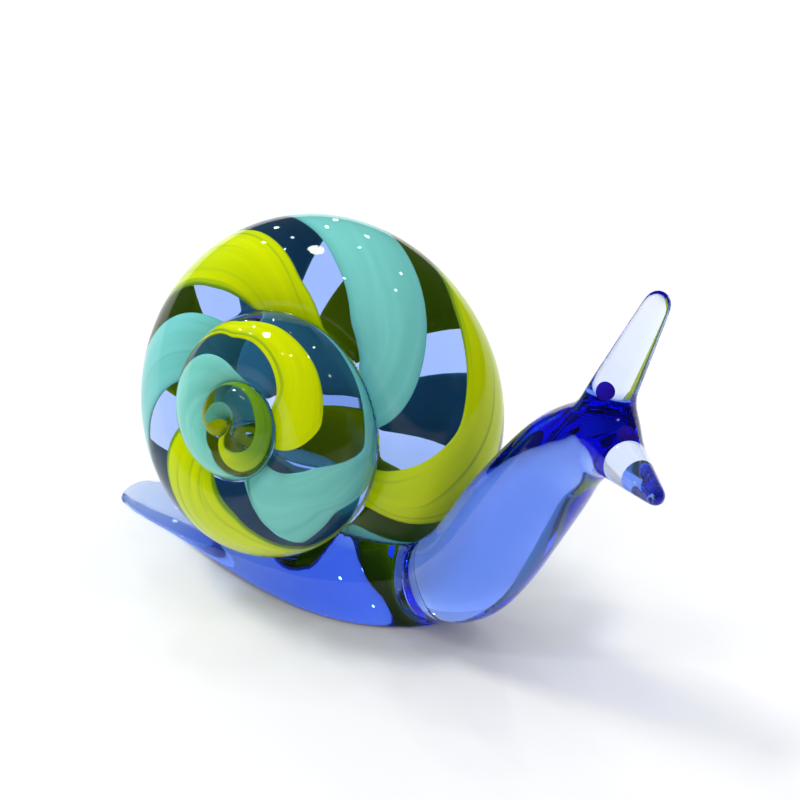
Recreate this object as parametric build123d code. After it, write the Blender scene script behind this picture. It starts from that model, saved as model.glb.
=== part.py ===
from build123d import *
from math import ceil, cos, exp, radians, sin
import os

# Glass snail, one rigid ornament that stands on the flat of its foot.
# +X runs from tail to head, +Y is the snail's left, +Z is up.
# The origin is on the flat of the foot, below the middle of the shell.
# Lengths are in millimetres and angles in degrees.

# Shell: a tapering rod wound into a coil that climbs towards its apex
rod_diameter = 12.2
coil_turns = 2.8
coil_lean_angle = 19.0
mouth_angle = -44.0
shell_x = -1.7
shell_y = 4.6
shell_seat_height = 2.6

# How the coil tightens, in turns counted back from its mouth
mouth_fill_share = 0.489
apex_fill_share = 0.95
fill_rate_share = 0.8
tighten_share = 0.447
tighten_square_share = 0.167
spire_share = 1.515
spire_rate_share = 0.624

# The mouth end of the rod is tucked in under the coil and drawn thinner,
# then curls on to its centre, out of sight, so that the coil is solid behind
mouth_tuck_share = 0.28
mouth_thin_share = 0.12
mouth_tuck_turns = 0.22
mouth_curl_turns = 0.2
mouth_curl_thin_share = 0.15

# Ribbons of opaque glass that twist round inside the rod, under a clear skin
ribbon_skin = 1.15
ribbon_thickness = 1.25
lime_start_angle = 143.5
lime_width_angle = 112.0
mint_start_angle = 329.0
mint_width_angle = 109.0
ribbon_end_turns = 0.05

# The twist goes once round in about a third of a turn, and slower on the hidden inside
twist_rate_share = 3.189
twist_slowing_share = 0.491
twist_sway_angle = 39.8
twist_sway_start = 10.9

# Foot: flat below, round above, drawn out into a thin tail
foot_length = 34.0
foot_width = 13.0
foot_height = 10.4
foot_front_x = 13.4
tail_sweep = 0.5
foot_edge_width = 0.9
foot_edge_share = 0.3
foot_ground_depth = 0.15

# Neck and head: a second gather that rises out of the front of the foot
neck_root_x = 12.8
neck_root_height = 4.1
neck_diameter = 9.0
head_diameter = 6.2
head_x = 31.0
head_height = 25.5

# Tentacles, from a root on the head to a round tip
left_tentacle_length = 10.4
left_root_diameter = 4.2
left_tip_diameter = 2.3
right_tentacle_length = 8.5
right_root_diameter = 4.3
right_tip_diameter = 1.6
tentacle_root_share = 0.87

# Eyes: round drops at the roots of the tentacles, lifted off the round of the head
eye_diameter = 1.6
left_eye_lift = 0.8
right_eye_lift = 0.4

# Foot stations as shares: place along the length, width, height and sweep to the side
foot_station_shares = (
    (0.000, 0.12, 0.07, 1.00),
    (0.012, 0.24, 0.11, 1.00),
    (0.047, 0.35, 0.15, 0.97),
    (0.118, 0.45, 0.17, 0.85),
    (0.211, 0.54, 0.20, 0.60),
    (0.323, 0.68, 0.27, 0.35),
    (0.441, 0.83, 0.40, 0.15),
    (0.582, 0.96, 0.57, 0.00),
    (0.709, 0.98, 0.70, 0.00),
    (0.791, 0.91, 0.77, 0.00),
    (0.850, 0.81, 0.79, 0.00),
    (0.930, 0.57, 0.72, 0.00),
    (0.975, 0.36, 0.52, 0.00),
    (1.000, 0.15, 0.26, 0.00),
)

# Neck stations as shares: way along and rise from its root to the head, and diameter
neck_station_shares = (
    (0.000, 0.000, 0.80),
    (0.186, 0.098, 0.96),
    (0.320, 0.245, 1.00),
    (0.459, 0.435, 1.00),
    (0.639, 0.668, 0.93),
    (0.789, 0.846, 0.82),
    (1.000, 1.000, 0.69),
)

# Where each tentacle leaves the head, and which way it reaches
left_root_direction = Vector(-0.26, 0.45, 0.85)
left_reach_direction = Vector(0.20, 0.45, 0.87)
right_root_direction = Vector(0.86, -0.37, -0.36)
right_reach_direction = Vector(0.88, -0.48, 0.06)

# Which way each eye lies from the middle of the head
left_eye_direction = Vector(0.06, 0.10, 0.99)
right_eye_direction = Vector(0.94, -0.18, 0.30)

sections_per_turn = 24
sections_per_piece = 3
ribbon_sections_per_turn = 56
ribbon_sections_per_piece = 7

coil_axis = Vector(0, -cos(radians(coil_lean_angle)), sin(radians(coil_lean_angle)))
coil_right = Vector(1, 0, 0)
coil_up = coil_axis.cross(coil_right)
coil_radius_at_mouth = rod_diameter / 2 / mouth_fill_share


def mouth_nearness(turn):
    """1 at the mouth of the coil, falling to 0 where the tuck begins."""
    return max(0, 1 - max(0, turn) / mouth_tuck_turns) ** 2


def wound_radius(turn):
    """Radius of the untucked coil's centre line, at so many turns from the mouth."""
    return coil_radius_at_mouth * exp(-tighten_share * turn - tighten_square_share * turn ** 2)


def coil_radius(turn):
    """Radius of the coil's centre line, which is tucked in at the mouth and curls in past it."""
    tucked = wound_radius(max(0, turn)) * (1 - mouth_tuck_share * mouth_nearness(turn))
    curl_rate_share = 2 * mouth_tuck_share / mouth_tuck_turns / (1 - mouth_tuck_share) - tighten_share
    return tucked * exp(curl_rate_share * min(0, turn))


def rod_radius(turn):
    """Radius of the rod itself, which thins towards the apex and a little at the mouth."""
    wound = max(0, turn)
    fill = apex_fill_share - (apex_fill_share - mouth_fill_share) * exp(-fill_rate_share * wound)
    curl_thinning = 1 - mouth_curl_thin_share * (min(0, turn) / mouth_curl_turns) ** 2
    return wound_radius(wound) * fill * (1 - mouth_thin_share * mouth_nearness(turn)) * curl_thinning


def spire_height(turn):
    """How far the coil has climbed along its axis."""
    return coil_radius_at_mouth * spire_share * (1 - exp(-spire_rate_share * max(0, turn)))


def coil_outward(turn):
    """Direction from the coil's axis to the rod."""
    angle = radians(mouth_angle + 360 * turn)
    return coil_right * cos(angle) + coil_up * sin(angle)


def coil_offset(turn):
    """Centre of the rod, from the foot of the coil's axis."""
    return coil_outward(turn) * coil_radius(turn) + coil_axis * spire_height(turn)


def coil_steps(start, end, per_turn):
    """Evenly spaced turns from start to end, both included."""
    count = ceil((end - start) * per_turn)
    return [start + (end - start) * step / count for step in range(count + 1)]


def lowest_of_coil():
    """Lowest height that the rod reaches, from the foot of the coil's axis."""
    return min(coil_offset(turn).Z - rod_radius(turn) for turn in coil_steps(0, 1, sections_per_turn))


coil_origin = Vector(shell_x, shell_y, shell_seat_height - lowest_of_coil())


def rod_plane(turn):
    """Plane square to the rod: X points out of the coil, Y to its apex side, Z to the mouth."""
    step = 1 / sections_per_turn ** 2
    along = (coil_offset(turn - step) - coil_offset(turn + step)).normalized()
    outward = coil_outward(turn)
    across = outward - along * outward.dot(along)
    return Plane(origin=coil_origin + coil_offset(turn), x_dir=across, z_dir=along)


def loft_in_pieces(wires, per_piece):
    """Loft a long run of wires as short solids that meet face to face."""
    spans = range(0, len(wires) - 1, per_piece)
    solids = [Solid.make_loft(wires[start:start + per_piece + 1]) for start in spans]
    return solids


def join(solids):
    """One solid from several that touch or overlap."""
    return solids[0].fuse(*solids[1:]).solid()


def make_rod():
    """The wound rod with round ends, its whorls fused where they press together."""
    turns = coil_steps(-mouth_curl_turns, coil_turns, sections_per_turn)
    wires = [Wire.make_circle(rod_radius(turn), rod_plane(turn)) for turn in turns]
    mouth = rod_plane(-mouth_curl_turns)
    apex = rod_plane(coil_turns)
    apex_out = Plane(origin=apex.origin, x_dir=apex.x_dir, z_dir=-apex.z_dir)
    mouth_end = Solid.make_sphere(rod_radius(-mouth_curl_turns), mouth, 0, 90)
    apex_end = Solid.make_sphere(rod_radius(coil_turns), apex_out, 0, 90)
    return join(loft_in_pieces(wires, sections_per_piece) + [mouth_end, apex_end])


def unsway(angle):
    """The angle round the rod whose swayed value is the given one."""
    around = angle
    for _ in range(sections_per_turn):
        around = angle - twist_sway_angle * sin(radians(around + twist_sway_start))
    return around


def ribbon_wire(turn, start_angle, width_angle):
    """A ribbon's lens-shaped section across the rod."""
    slimming = rod_radius(turn) / (rod_diameter / 2)
    outside = rod_radius(turn) - ribbon_skin * slimming
    inside = outside - ribbon_thickness * slimming
    turned = 360 * (twist_rate_share * turn - twist_slowing_share * turn ** 2)
    first = radians(unsway(start_angle - turned))
    last = radians(unsway(start_angle + width_angle - turned))
    middle = (first + last) / 2
    plane = rod_plane(turn)

    def at(radius, angle):
        return plane.from_local_coords(Vector(radius * cos(angle), radius * sin(angle), 0))

    outer = Edge.make_three_point_arc(at(outside, first), at(outside, middle), at(outside, last))
    inner = Edge.make_three_point_arc(at(outside, last), at(inside, middle), at(outside, first))
    return Wire([outer, inner])


def make_ribbon(start_angle, width_angle):
    """One ribbon, sealed in the rod from near its mouth end to near its apex end."""
    turns = coil_steps(ribbon_end_turns, coil_turns - ribbon_end_turns, ribbon_sections_per_turn)
    wires = [ribbon_wire(turn, start_angle, width_angle) for turn in turns]
    return join(loft_in_pieces(wires, ribbon_sections_per_piece))


def foot_wire(shares):
    """One section across the foot: flat below, with rounded edges and a domed top."""
    place, width_share, height_share, sweep_share = shares
    half_width = foot_width * width_share / 2
    edge_width = min(foot_edge_width, half_width / 2)
    height = foot_height * height_share
    edge_height = height * foot_edge_share
    edge_drop = edge_height + foot_ground_depth
    x = foot_front_x - foot_length * (1 - place)
    y = -tail_sweep * sweep_share
    across = half_width - edge_width

    def square_to_foot(side):
        return Plane(origin=(x, y + side, edge_height), x_dir=(0, 1, 0), z_dir=(1, 0, 0))

    flat = Edge.make_line((x, y - across, -foot_ground_depth), (x, y + across, -foot_ground_depth))
    left_turn = Edge.make_ellipse(edge_width, edge_drop, square_to_foot(across), 270, 360)
    top = Edge.make_ellipse(half_width, height - edge_height, square_to_foot(0), 0, 180)
    right_turn = Edge.make_ellipse(edge_width, edge_drop, square_to_foot(-across), 180, 270)
    return Wire([flat, left_turn, top, right_turn])


def make_foot():
    """The foot and its tail, ground flat below, before the shell is pressed into it."""
    blown = Solid.make_loft([foot_wire(shares) for shares in foot_station_shares])
    ground_off = Plane(origin=(foot_front_x - foot_length * 3 / 2, -foot_width, -foot_height))
    return blown.cut(Solid.make_box(foot_length * 2, foot_width * 2, foot_height, ground_off)).solid()


head_centre = Vector(head_x, 0, head_height)


def make_neck():
    """The neck and the head, before the shell and the foot take their room."""
    run = head_centre.X - neck_root_x
    rise = head_centre.Z - neck_root_height
    path = [
        Vector(neck_root_x + run * run_share, 0, neck_root_height + rise * rise_share)
        for run_share, rise_share, _ in neck_station_shares
    ]
    spine = Edge.make_spline(path)
    wires = []
    for point, (_, _, width_share) in zip(path, neck_station_shares):
        along = spine.tangent_at(spine.param_at_point(point))
        section = Plane(origin=point, x_dir=(0, 1, 0), z_dir=along)
        wires.append(Wire.make_circle(neck_diameter * width_share / 2, section))
    head = Solid.make_sphere(head_diameter / 2, Plane(origin=head_centre))
    return join([Solid.make_loft(wires), head])


def make_tentacle(root_direction, reach_direction, length, root_diameter, tip_diameter):
    """A tapered tentacle with a round tip, rooted just inside the head."""
    root = head_centre + root_direction.normalized() * (head_diameter / 2 * tentacle_root_share)
    reach = reach_direction.normalized()
    straight = length - tip_diameter / 2
    base = Plane(origin=root, z_dir=reach)
    rod = Solid.make_cone(root_diameter / 2, tip_diameter / 2, straight, base)
    tip = Solid.make_sphere(tip_diameter / 2, Plane(origin=root + reach * straight, z_dir=reach), 0, 90)
    return join([rod, tip])


def make_eye(direction, lift):
    """A round drop, half sunk at the root of a tentacle."""
    centre = head_centre + direction.normalized() * (head_diameter / 2 + lift)
    return Solid.make_sphere(eye_diameter / 2, Plane(origin=centre))


def main():
    os.makedirs("parts", exist_ok=True)
    rod = make_rod()
    lime_ribbon = make_ribbon(lime_start_angle, lime_width_angle)
    mint_ribbon = make_ribbon(mint_start_angle, mint_width_angle)
    foot = make_foot()
    neck = make_neck()
    left_eye = make_eye(left_eye_direction, left_eye_lift)
    right_eye = make_eye(right_eye_direction, right_eye_lift)
    left_tentacle = make_tentacle(
        left_root_direction, left_reach_direction, left_tentacle_length, left_root_diameter, left_tip_diameter)
    right_tentacle = make_tentacle(
        right_root_direction, right_reach_direction, right_tentacle_length, right_root_diameter, right_tip_diameter)

    pieces = {
        "shell_rod": rod.cut(lime_ribbon, mint_ribbon),
        "lime_ribbon": lime_ribbon,
        "mint_ribbon": mint_ribbon,
        "foot": foot.cut(rod),
        "neck_and_head": neck.cut(rod, foot, left_eye, right_eye),
        "left_tentacle": left_tentacle.cut(neck, left_eye, right_eye),
        "right_tentacle": right_tentacle.cut(neck, left_eye, right_eye),
        "left_eye": left_eye,
        "right_eye": right_eye,
    }
    for name, shape in pieces.items():
        solids = shape.solids()
        print(name, len(solids), round(shape.volume, 1), shape.is_valid)
        export_step(shape, f"parts/{name}.step")


main()
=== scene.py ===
"""Looks of a small lampworked glass snail.

A cobalt glass body carries a shell wound from one tapering rod of pale blue glass,
with a lime ribbon and a mint ribbon of opaque glass that twist round inside the rod.
Lengths are in metres and angles in radians. +X runs from tail to head and +Z is up.
"""

import logging
from dataclasses import dataclass
from enum import Enum
from math import cos, pi, radians, sin, tau

import bmesh
import bpy
import numpy as np
from mathutils import Matrix, Vector


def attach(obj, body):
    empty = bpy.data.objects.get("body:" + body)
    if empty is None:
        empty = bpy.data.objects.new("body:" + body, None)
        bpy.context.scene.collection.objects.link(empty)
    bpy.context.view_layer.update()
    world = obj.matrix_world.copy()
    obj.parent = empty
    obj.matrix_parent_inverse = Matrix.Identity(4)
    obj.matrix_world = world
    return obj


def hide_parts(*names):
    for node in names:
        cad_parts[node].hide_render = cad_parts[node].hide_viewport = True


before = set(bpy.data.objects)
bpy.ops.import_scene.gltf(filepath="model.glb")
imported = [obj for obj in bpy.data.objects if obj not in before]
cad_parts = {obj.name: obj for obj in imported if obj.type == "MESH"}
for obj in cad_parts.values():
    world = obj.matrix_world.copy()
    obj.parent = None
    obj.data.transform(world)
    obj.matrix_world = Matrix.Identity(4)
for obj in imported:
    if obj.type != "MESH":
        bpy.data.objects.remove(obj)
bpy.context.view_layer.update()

log = logging.getLogger("snail")

MM = 0.001

Socket = bpy.types.NodeSocket
Colour = tuple[float, float, float]
Direction = tuple[float, float, float]
Span = tuple[float, float]
Table = tuple[tuple[float, float], ...]
Measure = tuple[np.ndarray, np.ndarray]


class Slot(Enum):
    """The record's material slots."""

    COBALT = "cobalt_glass"
    TENTACLE = "tentacle_glass"
    PALE_BLUE = "pale_blue_glass"
    LIME = "lime_glass"
    MINT = "mint_glass"
    EYE = "eye_glass"


class NodeSheet:
    """Adds nodes to a tree and links them, so that a tree reads like a formula."""

    def __init__(self, tree: bpy.types.NodeTree) -> None:
        """Keeps the tree that nodes go into.

        Args:
            tree: A shader or geometry node tree.
        """
        self.tree = tree

    def add(self, kind: str, inputs: dict | None = None, **settings: object) -> bpy.types.Node:
        """Adds one node.

        Args:
            kind: The node's type name.
            inputs: Values or sockets for its inputs, by name or by number.
            **settings: The node's own settings, set before its inputs.

        Returns:
            The new node.
        """
        node = self.tree.nodes.new(kind)
        for name, value in settings.items():
            setattr(node, name, value)
        for key, value in (inputs or {}).items():
            socket = node.inputs[key]
            if isinstance(value, Socket):
                self.tree.links.new(value, socket)
            elif socket.type == "RGBA":
                socket.default_value = (*value, 1)
            else:
                socket.default_value = value
        return node

    def math(self, operation: str, *values: object, clamp: bool = False) -> Socket:
        """Adds a Math node.

        Args:
            operation: What it works out.
            *values: Its operands, as numbers or sockets.
            clamp: Whether its result is kept between 0 and 1.

        Returns:
            The socket of its result.
        """
        node = self.add("ShaderNodeMath", dict(enumerate(values)), operation=operation, use_clamp=clamp)
        return node.outputs[0]

    def plus(self, first: object, second: object) -> Socket:
        """Adds two numbers or sockets."""
        return self.math("ADD", first, second)

    def minus(self, first: object, second: object) -> Socket:
        """Takes the second number or socket from the first."""
        return self.math("SUBTRACT", first, second)

    def times(self, first: object, second: object) -> Socket:
        """Multiplies two numbers or sockets."""
        return self.math("MULTIPLY", first, second)

    def ranged(self, value: Socket, span: Span, top: float = 1.0) -> Socket:
        """Maps a span to the range from 0 to its top, and holds the result in that range."""
        inputs = {"Value": value, "From Min": span[0], "From Max": span[1], "To Max": top}
        return self.add("ShaderNodeMapRange", inputs).outputs[0]

    def tinted(self, factor: Socket, first: Colour | Socket, second: Colour | Socket) -> Socket:
        """Mixes two colours."""
        inputs = {"Factor": factor, "A": first, "B": second}
        return self.add("ShaderNodeMix", inputs, data_type="RGBA").outputs["Result"]

    def either(self, factor: Socket, first: Socket, second: Socket) -> Socket:
        """Mixes two shaders."""
        return self.add("ShaderNodeMixShader", {0: factor, 1: first, 2: second}).outputs[0]

    def attribute(self, name: str) -> Socket:
        """Reads a number that the mesh carries, for a material."""
        return self.add("ShaderNodeAttribute", attribute_name=name).outputs["Fac"]

    def named(self, name: str, kind: str = "FLOAT") -> Socket:
        """Reads what a geometry carries, for a geometry tree."""
        return self.add("GeometryNodeInputNamedAttribute", {"Name": name}, data_type=kind).outputs[0]

    def stored(self, geometry: Socket, name: str, value: Socket) -> Socket:
        """Keeps a number on each point of a geometry."""
        inputs = {"Geometry": geometry, "Name": name, "Value": value}
        node = self.add("GeometryNodeStoreNamedAttribute", inputs, data_type="FLOAT", domain="POINT")
        return node.outputs[0]

    def summed(self, first: Socket, second: Socket) -> Socket:
        """Adds two vectors."""
        return self.add("ShaderNodeVectorMath", {0: first, 1: second}, operation="ADD").outputs[0]

    def scaled(self, vector: Socket, factor: Socket) -> Socket:
        """Scales a vector by a number."""
        return self.add("ShaderNodeVectorMath", {0: vector, "Scale": factor}, operation="SCALE").outputs[0]


def cleared(owner: bpy.types.Material | bpy.types.World) -> NodeSheet:
    """Turns on the nodes of a material or a world, and clears them.

    Args:
        owner: The material or world.

    Returns:
        Its empty sheet of nodes.
    """
    owner.use_nodes = True
    owner.node_tree.nodes.clear()
    return NodeSheet(owner.node_tree)


def new_mesh_object(
    name: str, points: np.ndarray, faces: list[list[int]], edges: list[tuple[int, int]] | None = None,
) -> bpy.types.Object:
    """Makes a mesh object at the origin.

    Args:
        name: The object's name.
        points: Its vertices, one row each.
        faces: Its faces, as lists of vertex numbers.
        edges: Its loose edges, where it has any.

    Returns:
        The new object, linked into the scene.
    """
    mesh = bpy.data.meshes.new(name)
    mesh.from_pydata(points.tolist(), edges or [], faces)
    made = bpy.data.objects.new(name, mesh)
    bpy.context.scene.collection.objects.link(made)
    return made


def plain_mesh(made: bpy.types.Object) -> None:
    """Puts an object's evaluated mesh in place of its own, and removes its modifiers.

    Args:
        made: The object, with its modifiers still live.
    """
    bpy.context.view_layer.update()
    graph = bpy.context.evaluated_depsgraph_get()
    baked = bpy.data.meshes.new_from_object(made.evaluated_get(graph))
    made.modifiers.clear()
    old = made.data
    made.data = baked
    bpy.data.meshes.remove(old)
    made.data.name = made.name


def vertices_of(mesh: bpy.types.Mesh) -> np.ndarray:
    """Reads a mesh's vertices.

    Args:
        mesh: The mesh.

    Returns:
        Its vertices, one row each.
    """
    flat = np.empty(len(mesh.vertices) * 3)
    mesh.vertices.foreach_get("co", flat)
    return flat.reshape(-1, 3)


@dataclass(frozen=True)
class Coil:
    """The helicospiral that the shell's rod follows, in turns counted back from its mouth."""

    rod_diameter: float = 12.2 * MM
    turns: float = 2.8
    lean: float = radians(19.0)
    mouth_angle: float = radians(-44.0)
    shell_x: float = -1.7 * MM
    shell_y: float = 4.6 * MM
    seat_height: float = 2.6 * MM
    mouth_fill: float = 0.489
    apex_fill: float = 0.95
    fill_rate: float = 0.8
    tighten: float = 0.447
    tighten_square: float = 0.167
    spire: float = 1.515
    spire_rate: float = 0.624
    tuck: float = 0.28
    thin: float = 0.12
    tuck_turns: float = 0.22
    curl_turns: float = 0.2
    curl_thin: float = 0.15
    probes: int = 25
    probe_step: float = 0.001

    @property
    def axis(self) -> np.ndarray:
        """The way the coil climbs."""
        return np.array((0, -cos(self.lean), sin(self.lean)))

    @property
    def mouth_radius(self) -> float:
        """Radius of the untucked coil at its mouth."""
        return self.rod_diameter / 2 / self.mouth_fill

    def nearness(self, turn: np.ndarray) -> np.ndarray:
        """1 at the mouth, falling to 0 where the tuck begins."""
        return np.maximum(0, 1 - np.maximum(0, turn) / self.tuck_turns) ** 2

    def wound_radius(self, turn: np.ndarray) -> np.ndarray:
        """Radius of the untucked coil's centre line."""
        return self.mouth_radius * np.exp(-self.tighten * turn - self.tighten_square * turn ** 2)

    def coil_radius(self, turn: np.ndarray) -> np.ndarray:
        """Radius of the coil's centre line, tucked at the mouth and curling in past it.

        Args:
            turn: Turns from the mouth.

        Returns:
            The radius at each of them.
        """
        tucked = self.wound_radius(np.maximum(0, turn)) * (1 - self.tuck * self.nearness(turn))
        curl_rate = 2 * self.tuck / self.tuck_turns / (1 - self.tuck) - self.tighten
        return tucked * np.exp(curl_rate * np.minimum(0, turn))

    def rod_radius(self, turn: np.ndarray) -> np.ndarray:
        """Radius of the rod itself.

        Args:
            turn: Turns from the mouth.

        Returns:
            The radius at each of them.
        """
        wound = np.maximum(0, turn)
        fill = self.apex_fill - (self.apex_fill - self.mouth_fill) * np.exp(-self.fill_rate * wound)
        curl_thinning = 1 - self.curl_thin * (np.minimum(0, turn) / self.curl_turns) ** 2
        return self.wound_radius(wound) * fill * (1 - self.thin * self.nearness(turn)) * curl_thinning

    def outward(self, turn: np.ndarray) -> np.ndarray:
        """Directions from the coil's axis to the rod.

        Args:
            turn: Turns from the mouth.

        Returns:
            Unit vectors, one row each.
        """
        angle = self.mouth_angle + tau * np.asarray(turn)[:, None]
        right = np.array((1.0, 0.0, 0.0))
        return right * np.cos(angle) + np.cross(self.axis, right) * np.sin(angle)

    def offset(self, turn: np.ndarray) -> np.ndarray:
        """Centres of the rod, from the foot of the coil's axis."""
        climb = self.mouth_radius * self.spire * (1 - np.exp(-self.spire_rate * np.maximum(0, turn)))
        return self.outward(turn) * self.coil_radius(turn)[:, None] + self.axis * climb[:, None]

    def centre(self, turn: np.ndarray) -> np.ndarray:
        """Centres of the rod, in place.

        Args:
            turn: Turns from the mouth.

        Returns:
            The centres, one row each.
        """
        first_turn = np.linspace(0, 1, self.probes)
        lowest = (self.offset(first_turn)[:, 2] - self.rod_radius(first_turn)).min()
        return self.offset(turn) + np.array((self.shell_x, self.shell_y, self.seat_height - lowest))

    def section(self, turn: np.ndarray) -> Measure:
        """Directions across the rod.

        Args:
            turn: Turns from the mouth.

        Returns:
            Unit vectors out of the coil and to its apex side, one row each.
        """
        along = self.offset(turn - self.probe_step) - self.offset(turn + self.probe_step)
        along /= np.linalg.norm(along, axis=1)[:, None]
        out = self.outward(turn)
        out = out - along * (out * along).sum(1)[:, None]
        out /= np.linalg.norm(out, axis=1)[:, None]
        return out, np.cross(along, out)


class Form:
    """A solid form, known by how far a point is from its surface."""

    def measure(self, points: np.ndarray) -> Measure:
        """Measures the form from some points.

        Args:
            points: The points, one row each.

        Returns:
            Their distances from the surface, negative inside, and how these change along each axis.
        """
        raise NotImplementedError


@dataclass
class Balls(Form):
    """A row of overlapping balls, blended where rows lie side by side."""

    centres: np.ndarray
    radii: np.ndarray
    softness: float
    chunk: int = 8000
    least_spacing: float = 1e-9
    least_square: float = 1e-12

    def measure(self, points: np.ndarray) -> Measure:
        """Measures the blended balls from some points.

        Args:
            points: The points, one row each.

        Returns:
            Their distances and slopes.
        """
        steps = np.linalg.norm(np.gradient(self.centres, axis=0), axis=1)
        spacing = steps / np.sqrt(tau * self.softness * self.radii)
        crowding = np.log(np.maximum(spacing, self.least_spacing))
        centres = self.centres.astype(np.float32)
        bias = (crowding + self.radii / self.softness).astype(np.float32)
        lengths = (centres ** 2).sum(1)
        distance = np.empty(len(points))
        slope = np.empty((len(points), 3))
        for start in range(0, len(points), self.chunk):
            some = points[start:start + self.chunk].astype(np.float32)
            square = (some ** 2).sum(1)[:, None] + lengths - 2 * some @ centres.T
            reach = np.sqrt(np.maximum(square, self.least_square))
            power = bias - reach / np.float32(self.softness)
            most = power.max(1)[:, None]
            weight = np.exp(power - most)
            total = weight.sum(1)
            distance[start:start + self.chunk] = -self.softness * (most[:, 0] + np.log(total))
            pull = weight / reach / total[:, None]
            slope[start:start + self.chunk] = some * pull.sum(1)[:, None] - pull @ centres
        return distance, slope


def blended(first: Measure, second: Measure, fillet: float) -> Measure:
    """Measures two forms that flow into each other.

    Args:
        first: Distances and slopes of one form.
        second: Distances and slopes of the other.
        fillet: How wide the blend is.

    Returns:
        Distances and slopes of both together.
    """
    nearness = np.maximum(fillet - np.abs(first[0] - second[0]), 0) / fillet
    distance = np.minimum(first[0], second[0]) - nearness ** 2 * fillet / 4
    share = np.where(first[0] < second[0], 1 - nearness / 2, nearness / 2)[:, None]
    return distance, first[1] * share + second[1] * (1 - share)


def trimmed(first: Measure, cutter: Measure, rounding: float) -> Measure:
    """Measures a form that another one takes room from.

    Args:
        first: Distances and slopes of the form.
        cutter: Distances and slopes of what cuts it.
        rounding: How wide the cut's edge is rounded.

    Returns:
        Distances and slopes of what is left.
    """
    distance, slope = blended((-first[0], -first[1]), cutter, rounding)
    return -distance, -slope


@dataclass(frozen=True)
class FootShape:
    """Sizes of the foot and its tail.

    Each station gives a place as a share of the length from the tail's end, then shares of
    the width, the height and the sweep.
    """

    length: float = 34.0 * MM
    width: float = 13.0 * MM
    height: float = 10.4 * MM
    front_x: float = 13.4 * MM
    sweep: float = 0.5 * MM
    edge_width: float = 0.9 * MM
    edge_share: float = 0.3
    ground_depth: float = 0.15 * MM
    least_steepness: float = 0.5
    station_shares: tuple[tuple[float, ...], ...] = (
        (0.000, 0.12, 0.06, 1.00),
        (0.012, 0.24, 0.08, 1.00),
        (0.047, 0.35, 0.10, 0.97),
        (0.118, 0.45, 0.12, 0.85),
        (0.211, 0.54, 0.16, 0.60),
        (0.323, 0.68, 0.25, 0.35),
        (0.441, 0.83, 0.40, 0.15),
        (0.582, 0.96, 0.57, 0.00),
        (0.709, 0.98, 0.70, 0.00),
        (0.791, 0.91, 0.77, 0.00),
        (0.850, 0.81, 0.79, 0.00),
        (0.930, 0.57, 0.72, 0.00),
        (0.975, 0.36, 0.52, 0.00),
        (1.000, 0.15, 0.26, 0.00),
    )


class Skin:
    """Draws a loose mesh tight over a form, for a glass surface without ripples."""

    least_steepness = 0.1

    def __init__(self, form: Form, voxel: float, rounds: int) -> None:
        """Keeps what the skin is drawn over.

        Args:
            form: The form under it.
            voxel: Size of the mesh's cells.
            rounds: How often it is relaxed and drawn tight.
        """
        self.form = form
        self.voxel = voxel
        self.rounds = rounds

    def draw_tight(self, made: bpy.types.Object) -> None:
        """Remeshes an object and draws it over the form.

        Args:
            made: The object, a closed mesh near the form.
        """
        remesh = made.modifiers.new("remesh", "REMESH")
        remesh.mode = "VOXEL"
        remesh.voxel_size = self.voxel
        plain_mesh(made)
        drop_bubbles(made)
        mesh = made.data
        ends = np.empty(len(mesh.edges) * 2, np.int64)
        mesh.edges.foreach_get("vertices", ends)
        ends = ends.reshape(-1, 2)
        count = np.bincount(ends.ravel(), minlength=len(mesh.vertices))[:, None]
        points = vertices_of(mesh)
        for _ in range(self.rounds):
            points = self.relaxed(points, ends, count)
            points = self.projected(points)
        points = self.projected(points)
        mesh.vertices.foreach_set("co", points.ravel())
        mesh.polygons.foreach_set("use_smooth", np.ones(len(mesh.polygons), bool))
        mesh.update()
        made.data.materials.clear()

    def shade(self, made: bpy.types.Object) -> None:
        """Gives an object the form's own normals, and keeps its flat faces flat.

        Args:
            made: An object whose vertices lie on the form.
        """
        mesh = made.data
        _, slope = self.form.measure(vertices_of(mesh))
        slope /= np.linalg.norm(slope, axis=1)[:, None]
        vertex = np.empty(len(mesh.loops), np.int64)
        mesh.loops.foreach_get("vertex_index", vertex)
        normals = slope[vertex]
        for face in mesh.polygons:
            if not face.use_smooth:
                normals[list(face.loop_indices)] = face.normal
        mesh.normals_split_custom_set(normals.tolist())

    def relaxed(self, points: np.ndarray, ends: np.ndarray, count: np.ndarray) -> np.ndarray:
        """Moves each vertex half way to the middle of its neighbours.

        Args:
            points: The vertices.
            ends: Both ends of each edge.
            count: How many edges each vertex has.

        Returns:
            The moved vertices.
        """
        total = np.zeros_like(points)
        for axis in range(3):
            column = points[:, axis]
            total[:, axis] = (
                np.bincount(ends[:, 0], column[ends[:, 1]], len(points))
                + np.bincount(ends[:, 1], column[ends[:, 0]], len(points)))
        return (points + total / count) / 2

    def projected(self, points: np.ndarray) -> np.ndarray:
        """Moves each vertex onto the form's surface.

        Args:
            points: The vertices.

        Returns:
            The moved vertices.
        """
        reach, slope = self.form.measure(points)
        steepness = np.maximum((slope ** 2).sum(1), self.least_steepness)
        step = -reach / steepness
        return points + slope * np.clip(step, -self.voxel, self.voxel)[:, None]


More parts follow.
